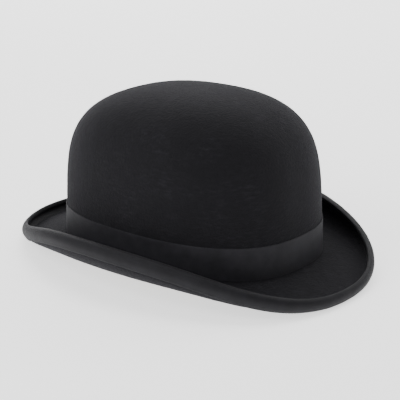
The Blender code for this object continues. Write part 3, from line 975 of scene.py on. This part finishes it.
def protector_piece(film):
    """The clear film over the lining's tip, an oval with an embossed rim."""
    phi = ring(216)
    start = rise_at_spread(FILM_SPREAD)
    rows = []
    for rise in evenly_between(start, LINING_LAST_RISE, 30):
        share = (rise - start) / (1 - start)
        rim = 0.25 * MM * math.exp(-((share - 0.03) / 0.012) ** 2)
        billow = FILM_BILLOW * (1 + waves(phi, 51, 3, 5)) * smooth(share, 0, 0.3)
        rows.append(crown(phi, rise, FILM_FACE - rim - billow))
    top = crown_top(FILM_FACE - FILM_BILLOW)
    piece = thicken(grid_object("tip_protector_film", rows, film, pole=top), FILM)
    return place(piece, "clear_film", "tip_protector")


def ticket_piece(paper):
    """The blank size ticket, one corner just lifting from the leather."""
    shares = np.linspace(0, 1, 17)
    phi = np.radians(np.interp(shares, (0, 1), TICKET_ANGLES))
    rows = []
    for share, height in zip(shares, np.interp(shares, (0, 1), TICKET_HEIGHTS)):
        lift = 0.9 * MM * (shares * share) ** 3
        rows.append(wall(phi, height, ON_LEATHER - lift))
    piece = thicken(grid_object("size_ticket_blank", rows, paper, closed=False), PAPER)
    return place(piece, "ticket_paper", "size_ticket")


# ---------------------------------------------------------------- studio


def look_from(location, target, roll=0.0):
    """World axes of a camera or lamp that looks from one point at another."""
    back = (location - target) / np.linalg.norm(location - target)
    right = np.cross(-back, (0, 0, 1))
    right /= np.linalg.norm(right)
    up = np.cross(right, -back)
    across = right * math.cos(roll) + up * math.sin(roll)
    above = up * math.cos(roll) - right * math.sin(roll)
    matrix = np.eye(4)
    matrix[:3] = np.column_stack([across, above, back, location])
    return matrix.T


def direction(azimuth, elevation):
    """The way out from the hat towards a camera or lamp."""
    level = math.cos(elevation)
    return np.array([math.sin(azimuth) * level, -math.cos(azimuth) * level, math.sin(elevation)])


def add_camera():
    """The camera that takes the photograph's view."""
    data = bpy.data.cameras.new("photo_camera")
    data.sensor_width = SENSOR
    data.lens = LENS
    data.clip_start, data.clip_end = 0.05, 50
    camera = bpy.data.objects.new("photo_camera", data)
    target = VIEW_TARGET + ORIGIN
    location = target + VIEW_DISTANCE * direction(VIEW_AZIMUTH, VIEW_ELEVATION)
    camera.matrix_world = look_from(location, target, VIEW_ROLL)
    bpy.context.scene.collection.objects.link(camera)
    bpy.context.scene.camera = camera


def add_lamp(name, turn, height, distance, size, power):
    """A soft box of that size in metres, aimed at the hat. Turn and height are in degrees."""
    data = bpy.data.lights.new(name, "AREA")
    data.shape = "RECTANGLE"
    data.size, data.size_y = size
    data.energy = power
    lamp = bpy.data.objects.new(name, data)
    aim = np.array(LAMP_AIM)
    location = aim + distance * direction(VIEW_AZIMUTH + math.radians(turn), math.radians(height))
    lamp.matrix_world = look_from(location, aim)
    bpy.context.scene.collection.objects.link(lamp)


def add_studio():
    """A plain pale floor under soft light from above, behind and the left."""
    world = bpy.data.worlds.new("studio")
    world.use_nodes = True
    background = world.node_tree.nodes["Background"].inputs
    background["Color"].default_value = (1, 1, 1, 1)
    background["Strength"].default_value = ROOM_LIGHT
    bpy.context.scene.world = world
    mesh = bpy.data.meshes.new("floor")
    corners = [(x * FLOOR_REACH, y * FLOOR_REACH, 0) for x, y in ((-1, -1), (1, -1), (1, 1), (-1, 1))]
    mesh.from_pydata(corners, [], [(0, 1, 2, 3)])
    mesh.materials.append(floor_material())
    floor = bpy.data.objects.new("floor", mesh)
    bpy.context.scene.collection.objects.link(floor)
    for name, lamp in LAMPS.items():
        add_lamp(name, **lamp)


def main():
    add_camera()
    add_studio()
    felt = felt_material()
    ribbon = ribbon_material("band_grosgrain", level=0.0215, rib=0.8 * MM, gloss=0.17)
    binding = ribbon_material("binding_grosgrain", level=0.0125, rib=0.8 * MM, gloss=0.16)
    tape = ribbon_material("tape_weave", level=0.014, rib=0.5 * MM, gloss=0.2)
    thread = thread_material()
    felt_piece(felt)
    band_piece(ribbon)
    binding_piece(binding)
    binding_stitches(thread)
    outer_bow(ribbon)
    satin = satin_material()
    lining_pieces(satin)
    protector_piece(film_material())
    sweatband_piece(leather_material())
    tape_piece(tape)
    reed_piece(reed_material())
    sweatband_seams(thread)
    inner_bow(tape)
    ticket_piece(paper_material())


main()
